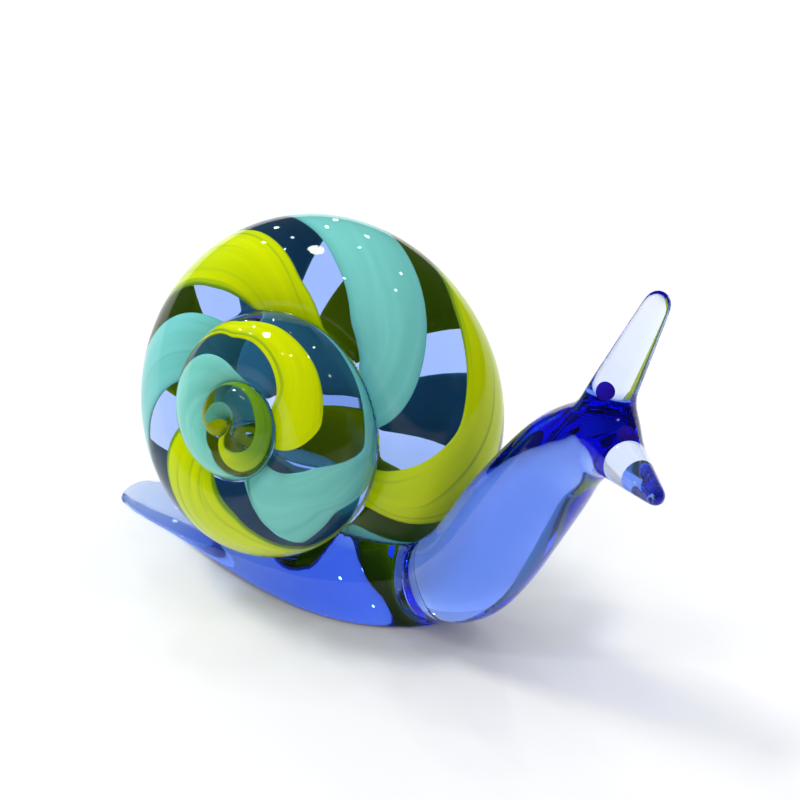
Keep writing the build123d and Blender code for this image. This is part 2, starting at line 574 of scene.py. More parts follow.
def drop_bubbles(made: bpy.types.Object) -> None:
    """Keeps only a mesh's largest surface, without the bubbles that remeshing leaves at inner walls.

    Args:
        made: The object.
    """
    sheet = bmesh.new()
    sheet.from_mesh(made.data)
    unseen = set(sheet.verts)
    islands = []
    while unseen:
        reached = [unseen.pop()]
        for vertex in reached:
            for edge in vertex.link_edges:
                other = edge.other_vert(vertex)
                if other in unseen:
                    unseen.remove(other)
                    reached.append(other)
        islands.append(reached)
    islands.sort(key=len)
    log.info("%s: %d bubbles dropped", made.name, len(islands) - 1)
    bmesh.ops.delete(sheet, geom=[vertex for island in islands[:-1] for vertex in island], context="VERTS")
    sheet.to_mesh(made.data)
    sheet.free()


def mark_seam(made: bpy.types.Object, other: Form, depth: float) -> None:
    """Marks where a skin is fused to another form, so that light passes there unbent.

    Args:
        made: The skin.
        other: The form that it is fused to.
        depth: How deep in the other form the seam begins.
    """
    distance, _ = other.measure(vertices_of(made.data))
    made.data.attributes.new("seam", "FLOAT", "POINT").data.foreach_set("value", (distance + depth) / MM)


def cut_off(made: bpy.types.Object, name: str, place: Vector, way: Vector, gap: float) -> bpy.types.Object:
    """Cuts the end off a closed mesh and closes both pieces with flat caps.

    Args:
        made: The object that is cut.
        name: The cut piece's name.
        place: A point on the cut.
        way: Unit vector from the object to the cut piece.
        gap: How far apart the caps are.

    Returns:
        The cut piece.
    """
    piece = bpy.data.objects.new(name, made.data.copy())
    bpy.context.scene.collection.objects.link(piece)
    for side, outward in ((made, way), (piece, -way)):
        sheet = bmesh.new()
        sheet.from_mesh(side.data)
        cap_layer = sheet.faces.layers.float.new("cap")
        cut = bmesh.ops.bisect_plane(
            sheet, geom=sheet.verts[:] + sheet.edges[:] + sheet.faces[:],
            plane_co=place - outward * gap / 2, plane_no=outward, clear_outer=True)
        rim = [item for item in cut["geom_cut"] if isinstance(item, bmesh.types.BMEdge)]
        for cap in bmesh.ops.edgeloop_fill(sheet, edges=rim)["faces"]:
            cap.normal_update()
            if cap.normal.dot(outward) < 0:
                cap.normal_flip()
            cap.smooth = False
            cap[cap_layer] = 1.0
        for edge in rim:
            edge.smooth = False
        sheet.to_mesh(side.data)
        sheet.free()
    return piece


def copy_of_nodes(name: str, *nodes: str) -> bpy.types.Object:
    """Copies CAD nodes into one object.

    Args:
        name: The new object's name.
        *nodes: Names of the nodes.

    Returns:
        The new object.
    """
    points = []
    faces = []
    for node in nodes:
        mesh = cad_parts[node].data
        start = sum(len(some) for some in points)
        points.append(vertices_of(mesh))
        corners = np.empty(len(mesh.loops), np.int64)
        mesh.loops.foreach_get("vertex_index", corners)
        faces.extend((corners.reshape(-1, 3) + start).tolist())
    return new_mesh_object(name, np.concatenate(points), faces)


@dataclass(frozen=True)
class ClearGlass:
    """Fire-polished transparent glass that takes colour from light on its way through.

    Light for the floor and for other pieces goes straight through it, tinted once at each
    surface: by the shadow tint, by the deep one low in the foot, and by the tail's at the
    thin end behind the shell. Where the mesh says so, at a seam or on a cut's cap, nothing
    bends the light at all.
    """

    name: str
    colour: Colour
    density: float
    shadow: Colour = (0.95, 0.93, 0.90)
    deep_shadow: Colour = (0.95, 0.93, 0.90)
    tail_shadow: Colour = (1.0, 1.0, 1.0)
    clearest: Colour = (1.0, 1.0, 1.0)
    cloudiest: Colour = (0.97, 0.98, 1.0)
    mirror: Colour = (0.45, 0.45, 0.40)
    ripple_size: float = 3.0 * MM
    ripple_depth: float = 0.01 * MM
    ripple_detail: float = 1.0
    roughness: float = 0.0
    ior: float = 1.5
    tail_end: float = -12.0 * MM
    tail_fade: float = 5.0 * MM
    foot_top: float = 9.0 * MM
    seam_blur: float = 0.02

    def material(self) -> bpy.types.Material:
        """Makes the material.

        Returns:
            The new material.
        """
        made = bpy.data.materials.new(self.name)
        sheet = cleared(made)
        place = sheet.add("ShaderNodeTexCoord").outputs["Object"]
        ripple = sheet.add("ShaderNodeTexNoise", {
            "Vector": place, "Scale": 1 / self.ripple_size, "Detail": self.ripple_detail}).outputs["Fac"]
        bump = sheet.add("ShaderNodeBump", {
            "Height": ripple, "Distance": self.ripple_depth, "Strength": 1.0}).outputs["Normal"]
        glass = sheet.add("ShaderNodeBsdfPrincipled", {
            "Base Color": sheet.tinted(ripple, self.clearest, self.cloudiest), "Normal": bump,
            "Roughness": self.roughness, "IOR": self.ior, "Specular Tint": self.mirror,
            "Transmission Weight": 1.0}).outputs[0]
        parts = sheet.add("ShaderNodeSeparateXYZ", {"Vector": place}).outputs
        thick = sheet.ranged(parts["X"], (self.tail_end, self.tail_end + self.tail_fade))
        low = sheet.ranged(parts["Z"], (self.foot_top, self.foot_top / 2))
        shade = sheet.tinted(thick, self.tail_shadow, sheet.tinted(low, self.shadow, self.deep_shadow))
        straight = sheet.add("ShaderNodeBsdfTransparent", {"Color": shade}).outputs[0]
        path = sheet.add("ShaderNodeLightPath").outputs
        bounced = sheet.either(path["Is Diffuse Ray"], glass, straight)
        lit = sheet.either(path["Is Shadow Ray"], bounced, straight)
        fused = sheet.ranged(sheet.attribute("seam"), (self.seam_blur, -self.seam_blur))
        unbent = sheet.math("MAXIMUM", fused, sheet.attribute("cap"))
        joined = sheet.either(unbent, lit, sheet.add("ShaderNodeBsdfTransparent").outputs[0])
        depth = sheet.add("ShaderNodeVolumeAbsorption", {"Color": self.colour, "Density": self.density})
        sheet.add("ShaderNodeOutputMaterial", {"Surface": joined, "Volume": depth.outputs[0]})
        return made


@dataclass(frozen=True)
class StreakedGlass:
    """Opaque coloured glass, drawn out so that its tones run in streaks along it.

    The mesh carries its place along the ribbon, in turns from the mouth, and across it, from
    0 to 1. It thins out towards the apex. Its inner side, which faces the rod's core, is painted
    in a darker shade, and it is painted darker towards both edges, as shade where it curves away.
    """

    name: str
    light: Colour
    dark: Colour
    # Painted shade: colour of the ribbon's inner side, which faces the rod's core.
    inner_shade: Colour
    # Colour of thin ribbon glass in its streaks and near the apex, also used as painted shade at its edges.
    thinned_and_shaded: Colour
    streak: float
    roughness: float = 0.25
    ior: float = 1.5
    tone_scale: Span = (5.0, 5.0)
    tone_detail: float = 4.0
    tone_span: Span = (0.3, 0.7)
    line_scale: Span = (2.2, 5.5)
    line_detail: float = 2.0
    line_span: Span = (0.56, 0.70)
    # How sharply and how strongly the edges are painted darker, as shade.
    edge_shade_power: float = 6.0
    edge_shade_gain: float = 0.16
    thin_span: Span = (1.86, 2.05)
    thin_most: float = 0.88
    # Heights through the ribbon where its painted inner shade begins and where it is full.
    inner_shade_span: Span = (0.1, -0.2)

    def drawn_noise(
        self, sheet: NodeSheet, along: Socket, across: Socket, scale: Span, detail: float,
    ) -> Socket:
        """Makes noise that is drawn out along the ribbon.

        Args:
            sheet: The material's sheet.
            along: Place along the ribbon.
            across: Place across it.
            scale: How fine the noise is along and across.
            detail: How much finer noise is laid over it.

        Returns:
            The socket of the noise, about 0.5 on average.
        """
        place = sheet.add("ShaderNodeCombineXYZ", {
            "X": sheet.times(along, scale[0]), "Y": sheet.times(across, scale[1])}).outputs[0]
        return sheet.add("ShaderNodeTexNoise", {
            "Vector": place, "Scale": 1.0, "Detail": detail}).outputs["Fac"]

    def material(self) -> bpy.types.Material:
        """Makes the material.

        Returns:
            The new material.
        """
        made = bpy.data.materials.new(self.name)
        sheet = cleared(made)
        along = sheet.attribute("along")
        across = sheet.attribute("across")
        broad = self.drawn_noise(sheet, along, across, self.tone_scale, self.tone_detail)
        tone = sheet.tinted(sheet.ranged(broad, self.tone_span), self.dark, self.light)
        fine = self.drawn_noise(sheet, along, across, self.line_scale, self.line_detail)
        from_middle = sheet.math("ABSOLUTE", sheet.minus(across, 0.5))
        # Painted shade: darker towards both edges, where the ribbon curves away; the fine noise adds its real
        # streaks.
        edge_shade = sheet.math("POWER", sheet.times(from_middle, 2.0), self.edge_shade_power)
        streaks_and_shade = sheet.plus(fine, sheet.times(edge_shade, self.edge_shade_gain))
        streaked_and_shaded = sheet.tinted(sheet.ranged(streaks_and_shade, self.line_span, self.streak), tone, self.thinned_and_shaded)
        thinning = sheet.times(sheet.ranged(along, self.thin_span), self.thin_most)
        outer = sheet.tinted(thinning, streaked_and_shaded, self.thinned_and_shaded)
        # Painted shade: the ribbon's inner side is mixed towards its darker colour.
        shaded_inwards = sheet.ranged(sheet.attribute("height"), self.inner_shade_span)
        surface = sheet.add("ShaderNodeBsdfPrincipled", {
            "Base Color": sheet.tinted(shaded_inwards, outer, self.inner_shade), "Roughness": self.roughness,
            "IOR": self.ior, "Specular IOR Level": 0.0})
        sheet.add("ShaderNodeOutputMaterial", {"Surface": surface.outputs[0]})
        return made


@dataclass
class Ribbon:
    """A ribbon of opaque glass that twists round inside the shell's rod.

    Its two edges follow one even twist, apart from the pull that each table gives, as turns
    from the mouth and degrees.
    """

    coil: Coil
    name: str
    slot: Slot
    start_angle: float
    width_angle: float
    start_pull: Table
    end_pull: Table
    skin: float = 1.15 * MM
    thickness: float = 1.25 * MM
    edge_sink_share: float = 0.35
    first_turn: float = -0.12
    end_turns: float = 0.05
    taper_turns: float = 0.06
    least_taper: float = 0.001
    twist_rate: float = 3.189
    twist_slowing: float = 0.491
    sway: float = radians(39.8)
    sway_start: float = radians(10.9)
    steps_per_turn: int = 240
    steps_round: int = 40
    unsway_rounds: int = 5
    pull_blur: float = 0.006
    pull_probes: int = 9

    def path(self) -> bpy.types.Object:
        """Makes the line that the ribbon follows, with the rod's section at each point.

        Returns:
            An object of edges, with its attributes.
        """
        last_turn = self.coil.turns - self.end_turns
        count = int((last_turn - self.first_turn) * self.steps_per_turn)
        turn = np.linspace(self.first_turn, last_turn, count)
        made = new_mesh_object(
            self.name + "_twist", self.coil.centre(turn), [], [(step, step + 1) for step in range(count - 1)])
        out, side = self.coil.section(turn)
        from_ends = np.minimum(turn - turn[0], turn[-1] - turn) / self.taper_turns
        from_ends = np.clip(from_ends, self.least_taper, 1)
        numbers = {
            "along": turn,
            "rod_radius": self.coil.rod_radius(turn),
            "taper": np.sqrt(from_ends * (2 - from_ends)),
            "start_pull": self.pull(self.start_pull, turn),
            "end_pull": self.pull(self.end_pull, turn),
        }
        for key, values in numbers.items():
            made.data.attributes.new(key, "FLOAT", "POINT").data.foreach_set("value", values)
        for key, values in {"centre": self.coil.centre(turn), "outward": out, "side": side}.items():
            made.data.attributes.new(key, "FLOAT_VECTOR", "POINT").data.foreach_set("vector", values.ravel())
        return made

    def pull(self, table: Table, turn: np.ndarray) -> np.ndarray:
        """How far the maker's pull moved one edge of the ribbon from its even twist.

        Args:
            table: The pull at some turns from the mouth.
            turn: Where it is read.

        Returns:
            The pull in radians.
        """
        knots, pull = np.array(table).T
        spread = np.linspace(-self.pull_blur, self.pull_blur, self.pull_probes)
        return np.radians(np.mean([np.interp(turn + step, knots, pull) for step in spread], axis=0))

    def angle(self, sheet: NodeSheet, given: bpy.types.NodeOutputs, share: Socket) -> Socket:
        """Works out the angle round the rod, whose sway is undone by a few of Newton's steps.

        Args:
            sheet: The tree's sheet.
            given: The tree's inputs.
            share: Place across the ribbon, from 0 to 1.

        Returns:
            The angle's socket.
        """
        turn = sheet.named("along")
        start_pull = sheet.named("start_pull")
        widening = sheet.minus(sheet.named("end_pull"), start_pull)
        width = sheet.times(share, sheet.plus(given["Width Angle"], widening))
        slowing = sheet.times(sheet.times(turn, turn), given["Twist Slowing"])
        turned = sheet.minus(sheet.times(turn, given["Twist Rate"]), slowing)
        start = sheet.plus(sheet.plus(given["Start Angle"], start_pull), width)
        swayed = sheet.minus(start, sheet.times(turned, tau))
        angle = swayed
        for _ in range(self.unsway_rounds):
            phase = sheet.plus(angle, given["Sway Start"])
            sway = sheet.times(sheet.math("SINE", phase), given["Sway"])
            miss = sheet.minus(sheet.plus(angle, sway), swayed)
            slope = sheet.plus(sheet.times(sheet.math("COSINE", phase), given["Sway"]), 1.0)
            angle = sheet.minus(angle, sheet.math("DIVIDE", miss, slope))
        return angle

    def reach(self, sheet: NodeSheet, given: bpy.types.NodeOutputs, height: Socket) -> Socket:
        """Works out how far from the rod's centre the ribbon's surface is.

        Args:
            sheet: The tree's sheet.
            given: The tree's inputs.
            height: Place through the ribbon, from -1 inside to 1 outside.

        Returns:
            The distance's socket.
        """
        below = sheet.times(sheet.math("MINIMUM", height, 0.0), sheet.minus(1.0, given["Edge Sink"]))
        above = sheet.times(sheet.math("MAXIMUM", height, 0.0), given["Edge Sink"])
        lift = sheet.times(sheet.plus(above, below), sheet.named("taper"))
        depth = sheet.times(sheet.minus(given["Edge Sink"], lift), given["Thickness"])
        rod_radius = sheet.named("rod_radius")
        slimming = sheet.math("DIVIDE", rod_radius, given["Rod Radius"])
        return sheet.minus(rod_radius, sheet.times(sheet.plus(depth, given["Skin"]), slimming))

    def tree(self, finish: bpy.types.Material) -> bpy.types.NodeTree:
        """Makes the node tree that sweeps the ribbon's section along its line.

        Args:
            finish: The ribbon's material.

        Returns:
            The new tree.
        """
        tree = bpy.data.node_groups.new(self.name + "_sweep", "GeometryNodeTree")
        tree.interface.new_socket("Geometry", in_out="INPUT", socket_type="NodeSocketGeometry")
        for name in self.inputs():
            tree.interface.new_socket(name, in_out="INPUT", socket_type="NodeSocketFloat")
        tree.interface.new_socket("Geometry", in_out="OUTPUT", socket_type="NodeSocketGeometry")
        sheet = NodeSheet(tree)
        given = sheet.add("NodeGroupInput").outputs
        circle = sheet.add("GeometryNodeCurvePrimitiveCircle", {"Resolution": self.steps_round, "Radius": MM})
        round_share = sheet.math(
            "DIVIDE", sheet.add("GeometryNodeInputIndex").outputs[0], float(self.steps_round))
        profile = sheet.stored(circle.outputs[0], "round", round_share)
        line = sheet.add("GeometryNodeMeshToCurve", {"Mesh": given["Geometry"]})
        swept = sheet.add("GeometryNodeCurveToMesh", {
            "Curve": line.outputs[0], "Profile Curve": profile, "Fill Caps": True})

        around = sheet.times(sheet.named("round"), tau)
        height = sheet.math("SINE", around)
        lean = sheet.times(sheet.math("COSINE", around), sheet.named("taper"))
        share = sheet.minus(0.5, sheet.times(lean, 0.5))
        angle = self.angle(sheet, given, share)
        reach = self.reach(sheet, given, height)
        ways = []
        for name, part in (("outward", "COSINE"), ("side", "SINE")):
            length = sheet.times(sheet.math(part, angle), reach)
            ways.append(sheet.scaled(sheet.named(name, "FLOAT_VECTOR"), length))
        place = sheet.summed(sheet.named("centre", "FLOAT_VECTOR"), sheet.summed(*ways))

        marked = sheet.stored(sheet.stored(swept.outputs[0], "across", share), "height", height)
        moved = sheet.add("GeometryNodeSetPosition", {"Geometry": marked, "Position": place})
        real = sheet.add("GeometryNodeRealizeInstances", {"Geometry": moved.outputs[0]})
        dressed = sheet.add("GeometryNodeSetMaterial", {"Geometry": real.outputs[0], "Material": finish})
        sheet.add("NodeGroupOutput", {"Geometry": dressed.outputs[0]})
        return tree

    def inputs(self) -> dict[str, float]:
        """The tree's named inputs and their values."""
        return {
            "Start Angle": self.start_angle,
            "Width Angle": self.width_angle,
            "Twist Rate": self.twist_rate,
            "Twist Slowing": self.twist_slowing,
            "Sway": self.sway,
            "Sway Start": self.sway_start,
            "Skin": self.skin,
            "Thickness": self.thickness,
            "Edge Sink": self.edge_sink_share,
            "Rod Radius": self.coil.rod_diameter / 2,
        }

    def build(self, finish: bpy.types.Material) -> bpy.types.Object:
        """Builds the ribbon's mesh.

        Args:
            finish: The ribbon's material.

        Returns:
            The finished piece.
        """
        made = self.path()
        tree = self.tree(finish)
        modifier = made.modifiers.new("sweep", "NODES")
        modifier.node_group = tree
        values = self.inputs()
        for item in tree.interface.items_tree:
            if item.in_out == "INPUT" and item.name in values:
                modifier[item.identifier] = values[item.name]
        plain_mesh(made)
        face_outwards(made)
        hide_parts(self.name)
        return made


def face_outwards(made: bpy.types.Object) -> None:
    """Turns a closed mesh's faces outwards and shades it smooth.

    Args:
        made: The object.
    """
    mesh = made.data
    mesh.calc_loop_triangles()
    points = vertices_of(mesh)
    corners = np.empty(len(mesh.loop_triangles) * 3, np.int64)
    mesh.loop_triangles.foreach_get("vertices", corners)
    a, b, c = (points[corners.reshape(-1, 3)[:, corner]] for corner in range(3))
    if (a * np.cross(b, c)).sum() < 0:
        mesh.flip_normals()
    mesh.polygons.foreach_set("use_smooth", np.ones(len(mesh.polygons), bool))
    mesh.update()


class BodyForm(Form):
    """Foot, neck, head and tentacles, fused into one piece of glass under the shell."""

    step = 0.005 * MM

    def __init__(
        self, foot: FootShape, spine: Balls, tentacles: list[Balls], shell: Balls | None,
        fillets: dict[str, float],
    ) -> None:
        """Keeps the forms that are fused.

        Args:
            foot: Sizes of the foot.
            spine: The neck and head.
            tentacles: One row of balls for each tentacle.
            shell: The shell, where it takes room from the body.
            fillets: How wide each seam is rounded.
        """
        self.foot = foot
        self.spine = spine
        self.tentacles = tentacles
        self.shell = shell
        self.fillets = fillets
        shares = np.array(foot.station_shares)
        self.stations = shares[:, 0]
        self.profiles = shares[:, 1:]

    def foot_distance(self, points: np.ndarray) -> np.ndarray:
        """Measures the round of the foot and its tail, whose ends are still open.

        Args:
            points: The points, one row each.

        Returns:
            Their rough distances from it.
        """
        foot = self.foot
        place = np.clip(1 - (foot.front_x - points[:, 0]) / foot.length, 0, 1)
        width, height, sweep = (smooth_through(self.stations, column, place) for column in self.profiles.T)
        half_width = foot.width * width / 2
        height = foot.height * height
        across = np.abs(points[:, 1] + foot.sweep * sweep)
        edge = height * foot.edge_share
        rise = np.maximum(points[:, 2] - edge, 0) / (height - edge)
        drop = np.clip((edge - points[:, 2]) / (edge + foot.ground_depth), 0, 1)
        edge_width = np.minimum(foot.edge_width, half_width / 2)
        wide = half_width - edge_width * (1 - np.sqrt(1 - drop ** 2))
        size = np.hypot(across / wide, rise)
        return (size - 1) * np.where(rise > 0, np.minimum(wide, height - edge), wide)

    def foot_measure(self, points: np.ndarray) -> Measure:
        """Measures the foot, whose slope is found by small steps.

        Args:
            points: The points, one row each.

        Returns:
            Their distances and slopes.
        """
        columns = []
        for axis in np.eye(3) * self.step:
            rise = self.foot_distance(points + axis) - self.foot_distance(points - axis)
            columns.append(rise / self.step / 2)
        slope = np.stack(columns, axis=1)
        steepness = np.maximum(np.linalg.norm(slope, axis=1), self.foot.least_steepness)
        return self.foot_distance(points) / steepness, slope / steepness[:, None]

    def plane(self, points: np.ndarray, place: float, way: Direction) -> Measure:
        """Measures a flat side, whose slope is the given way."""
        return points @ np.array(way) - place, np.tile(way, (len(points), 1))

    def measure(self, points: np.ndarray) -> Measure:
        """Measures the whole body from some points.

        Args:
            points: The points, one row each.

        Returns:
            Their distances and slopes.
        """
        foot = self.foot_measure(points)
        front, tail = self.foot.front_x, self.foot.front_x - self.foot.length
        foot = trimmed(foot, self.plane(points, -front, (-1.0, 0.0, 0.0)), self.fillets["foot_end"])
        foot = trimmed(foot, self.plane(points, tail, (1.0, 0.0, 0.0)), self.fillets["foot_end"])
        whole = blended(foot, self.spine.measure(points), self.fillets["neck"])
        for tentacle in self.tentacles:
            whole = blended(whole, tentacle.measure(points), self.fillets["tentacle"])
        whole = trimmed(whole, self.plane(points, 0.0, (0.0, 0.0, 1.0)), self.fillets["ground"])
        if not self.shell:
            return whole
        distance, slope = self.shell.measure(points)
        return trimmed(whole, (distance - self.fillets["gap"], slope), self.fillets["shell"])


@dataclass
class Shell:
    """The shell: a pale blue glass rod wound into a coil, over its two ribbons."""

    coil: Coil
    balls_per_turn: int = 110
    suture: float = 0.12 * MM
    voxel: float = 0.22 * MM
    rounds: int = 3

    def form(self) -> Balls:
        """The wound rod as a row of balls.

        Returns:
            The row of balls.
        """
        count = int((self.coil.turns + self.coil.curl_turns) * self.balls_per_turn)
        turn = np.linspace(-self.coil.curl_turns, self.coil.turns, count)
        return Balls(self.coil.centre(turn), self.coil.rod_radius(turn), self.suture)

    def build(self, finish: bpy.types.Material) -> bpy.types.Object:
        """Builds the rod's outer skin.

        Args:
            finish: The rod's glass.

        Returns:
            The finished piece.
        """
        made = copy_of_nodes("shell_skin", "shell_rod", "lime_ribbon", "mint_ribbon")
        skin = Skin(self.form(), self.voxel, self.rounds)
        skin.draw_tight(made)
        skin.shade(made)
        made.data.materials.append(finish)
        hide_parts("shell_rod")
        return made


@dataclass(frozen=True)
class TentacleShape:
    """One tentacle: where it leaves the head, which way it reaches, its sizes and its cut.

    The cut, where its own glass begins, is given from the middle of the head.
    """

    node: str
    root: Direction
    reach: Direction
    length: float
    root_diameter: float
    tip_diameter: float
    cut: float


@dataclass
class Body:
    """The cobalt glass body: foot, neck, head and tentacles.

    The neck's shares give its way forwards and up from root to head, and its width.
    """

    shell: Shell
    foot: FootShape = FootShape()
    neck_root: Direction = (12.8 * MM, 0.0, 4.1 * MM)
    neck_diameter: float = 9.0 * MM
    head_diameter: float = 6.2 * MM
    head: Direction = (31.0 * MM, 0.0, 25.5 * MM)
    neck_shares: tuple[Direction, ...] = (
        (0.000, 0.000, 0.80),
        (0.186, 0.098, 0.96),
        (0.320, 0.245, 1.00),
        (0.459, 0.435, 1.00),
        (0.639, 0.668, 0.93),
        (0.789, 0.846, 0.82),
        (1.000, 1.000, 0.69),
    )
    tentacles: tuple[TentacleShape, ...] = (
        TentacleShape(
            "left_tentacle", root=(-0.26, 0.45, 0.85), reach=(0.20, 0.45, 0.87), length=10.4 * MM,
            root_diameter=4.2 * MM, tip_diameter=2.3 * MM, cut=2.8 * MM),
        TentacleShape(
            "right_tentacle", root=(0.86, -0.37, -0.36), reach=(0.88, -0.48, 0.06), length=8.5 * MM,
            root_diameter=4.3 * MM, tip_diameter=1.6 * MM, cut=3.7 * MM),
    )
    tentacle_root_share: float = 0.87
    neck_balls: int = 140
    tentacle_balls: int = 60
    softness: float = 0.1 * MM
    neck_fillet: float = 1.2 * MM
    tentacle_fillet: float = 1.4 * MM
    ground_rounding: float = 0.3 * MM
    shell_rounding: float = 0.2 * MM
    shell_gap: float = 0.02 * MM
    end_rounding: float = 0.4 * MM
    seam_depth: float = 0.06 * MM
    cut_gap: float = 0.004 * MM
    voxel: float = 0.22 * MM
    rounds: int = 3

    def spine(self) -> Balls:
        """The neck and head as a row of balls.

        Returns:
            The row of balls.
        """
        root, head = np.array(self.neck_root), np.array(self.head)
        shares = np.array(self.neck_shares)
        knots = np.linspace(0, 1, len(shares))
        fine = np.linspace(0, 1, self.neck_balls)
        run, rise, width = (smooth_through(knots, shares[:, column], fine) for column in range(3))
        centres = root + (head - root) * np.stack((run, run, rise), axis=1)
        return Balls(centres, self.neck_diameter * width / 2, self.softness)

    def tentacle(self, shape: TentacleShape) -> Balls:
        """One tentacle as a row of balls.

        Args:
            shape: Its sizes.

        Returns:
            The row of balls.
        """
        out = np.array(shape.root) / np.linalg.norm(shape.root)
        reach = np.array(shape.reach) / np.linalg.norm(shape.reach)
        root = np.array(self.head) + out * self.head_diameter / 2 * self.tentacle_root_share
        way = np.linspace(0, 1, self.tentacle_balls)
        centres = root + reach * (shape.length - shape.tip_diameter / 2) * way[:, None]
        radii = shape.root_diameter / 2 * (1 - way) + shape.tip_diameter / 2 * way
        return Balls(centres, radii, self.softness)

    def form(self, shell: Balls | None) -> BodyForm:
        """The whole body as one form.

        Args:
            shell: The shell, where it takes room from the body.

        Returns:
            The form.
        """
        fillets = {
            "neck": self.neck_fillet,
            "tentacle": self.tentacle_fillet,
            "ground": self.ground_rounding,
            "shell": self.shell_rounding,
            "gap": self.shell_gap,
            "foot_end": self.end_rounding,
        }
        tentacles = [self.tentacle(shape) for shape in self.tentacles]
        return BodyForm(self.foot, self.spine(), tentacles, shell, fillets)

    def build(
        self, finish: bpy.types.Material, tentacle_finish: bpy.types.Material, shell_skin: bpy.types.Object,
    ) -> list[bpy.types.Object]:
        """Builds the body's skin, with the tentacles cut from it.

        Args:
            finish: The body's glass.
            tentacle_finish: The tentacles' glass.
            shell_skin: The shell's skin, which is fused to it.

        Returns:
            The finished pieces.
        """
        shell_form = self.shell.form()
        mark_seam(shell_skin, self.form(None), self.seam_depth)
        cut_nodes = [shape.node for shape in self.tentacles]
        made = copy_of_nodes("snail_body", "foot", "neck_and_head", *cut_nodes, "left_eye", "right_eye")
        skin = Skin(self.form(shell_form), self.voxel, self.rounds)
        skin.draw_tight(made)
        mark_seam(made, shell_form, -self.seam_depth)
        pieces = [made]
        for shape in self.tentacles:
            way = Vector(shape.reach).normalized()
            place = Vector(self.head) + way * shape.cut
            piece = cut_off(made, shape.node + "_glass", place, way, self.cut_gap)
            piece.data.materials.append(tentacle_finish)
            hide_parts(shape.node)
            pieces.append(piece)
        for piece in pieces:
            skin.shade(piece)
        made.data.materials.append(finish)
        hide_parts("foot", "neck_and_head")
        return pieces


def smooth_through(knots: np.ndarray, values: np.ndarray, places: np.ndarray) -> np.ndarray:
    """A smooth line through given values.

    Args:
        knots: Where the values are given.
        values: The values.
        places: Where the line is read.

    Returns:
        The line's values there.
    """
    rates = np.gradient(values, knots)
    which = np.clip(np.searchsorted(knots, places) - 1, 0, len(knots) - 2)
    span = knots[which + 1] - knots[which]
    way = np.clip((places - knots[which]) / span, 0, 1)
    ahead = way ** 2 * (3 - 2 * way)
    return (
        values[which] * (1 - ahead) + values[which + 1] * ahead
        + rates[which] * span * way * (1 - way) ** 2
        - rates[which + 1] * span * way ** 2 * (1 - way))


